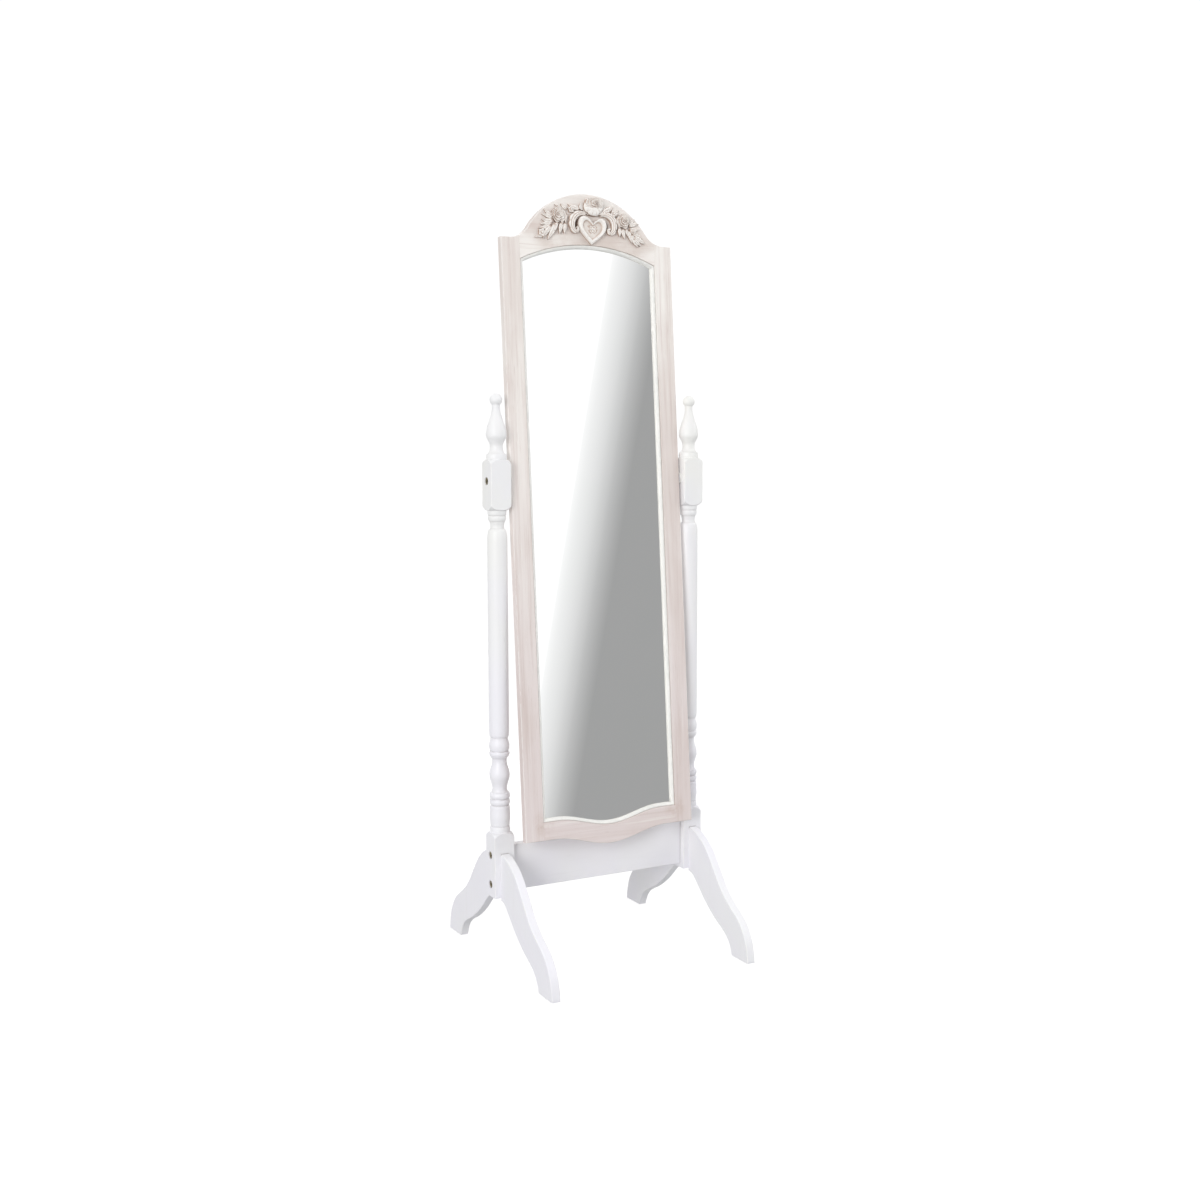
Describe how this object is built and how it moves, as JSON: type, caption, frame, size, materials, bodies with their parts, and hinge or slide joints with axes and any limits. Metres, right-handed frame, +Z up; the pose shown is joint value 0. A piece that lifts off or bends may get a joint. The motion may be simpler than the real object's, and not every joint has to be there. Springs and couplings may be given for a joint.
{
  "type": "cheval floor mirror",
  "caption": "Tall arched framed mirror that tilts between two turned white posts on splayed legs, with a carved rose and heart crest.",
  "frame": {"origin": "on the floor, in the middle of the four feet, which is the bottom centre of the bounding box", "axes": "+Z up; the glass faces -Y, so +Y is the back; +X is to the right for someone facing the glass. At rest the frame leans back 4.56 degrees about the pivot axis, which runs along X at z 978.3 mm."},
  "size_m": [0.486, 0.5024, 1.5511],
  "materials": {
    "white_paint": "satin white lacquer over solid pine",
    "washed_wood": "white-washed pinkish beige, open grain, matt",
    "cream_slip": "off-white satin paint, slightly rubbed",
    "antiqued_resin": "cast resin, off-white with brown antiquing in the hollows",
    "silvered_glass": "silvered float glass, polished",
    "hardboard": "brown hardboard, smooth side out",
    "antique_brass": "dark antique brass plating, satin",
    "insert_brass": "bright brass",
    "zinc_steel": "zinc plated steel",
    "spacer_nylon": "white nylon, matt",
    "beech": "plain fluted beech dowel"
  },
  "bodies": {
    "stand": {"left_post": "white_paint", "right_post": "white_paint", "left_front_leg": "white_paint", "left_rear_leg": "white_paint", "right_front_leg": "white_paint", "right_rear_leg": "white_paint", "stretcher": "white_paint", "leg_dowels": "beech", "stretcher_bolts": "antique_brass", "barrel_nuts": "zinc_steel", "pivot_spacers": "spacer_nylon"},
    "mirror": {"left_stile": "washed_wood", "right_stile": "washed_wood", "top_rail": "washed_wood", "bottom_rail": "washed_wood", "frame_dowels": "beech", "slip_left": "cream_slip", "slip_right": "cream_slip", "slip_top": "cream_slip", "slip_bottom": "cream_slip", "mirror_glass": "silvered_glass", "backing_board": "hardboard", "glazing_points": "zinc_steel", "crest_ornament": "antiqued_resin", "pivot_bolts": "antique_brass", "pivot_inserts": "insert_brass", "pivot_washers": "zinc_steel"}
  },
  "joints": [
    {"name": "mirror_tilt", "type": "hinge", "parent": "stand", "child": "mirror", "pos_m": [0, 0, 0.9783], "axis": [1, 0, 0], "range_deg": [-85.44, 3]}
  ]
}
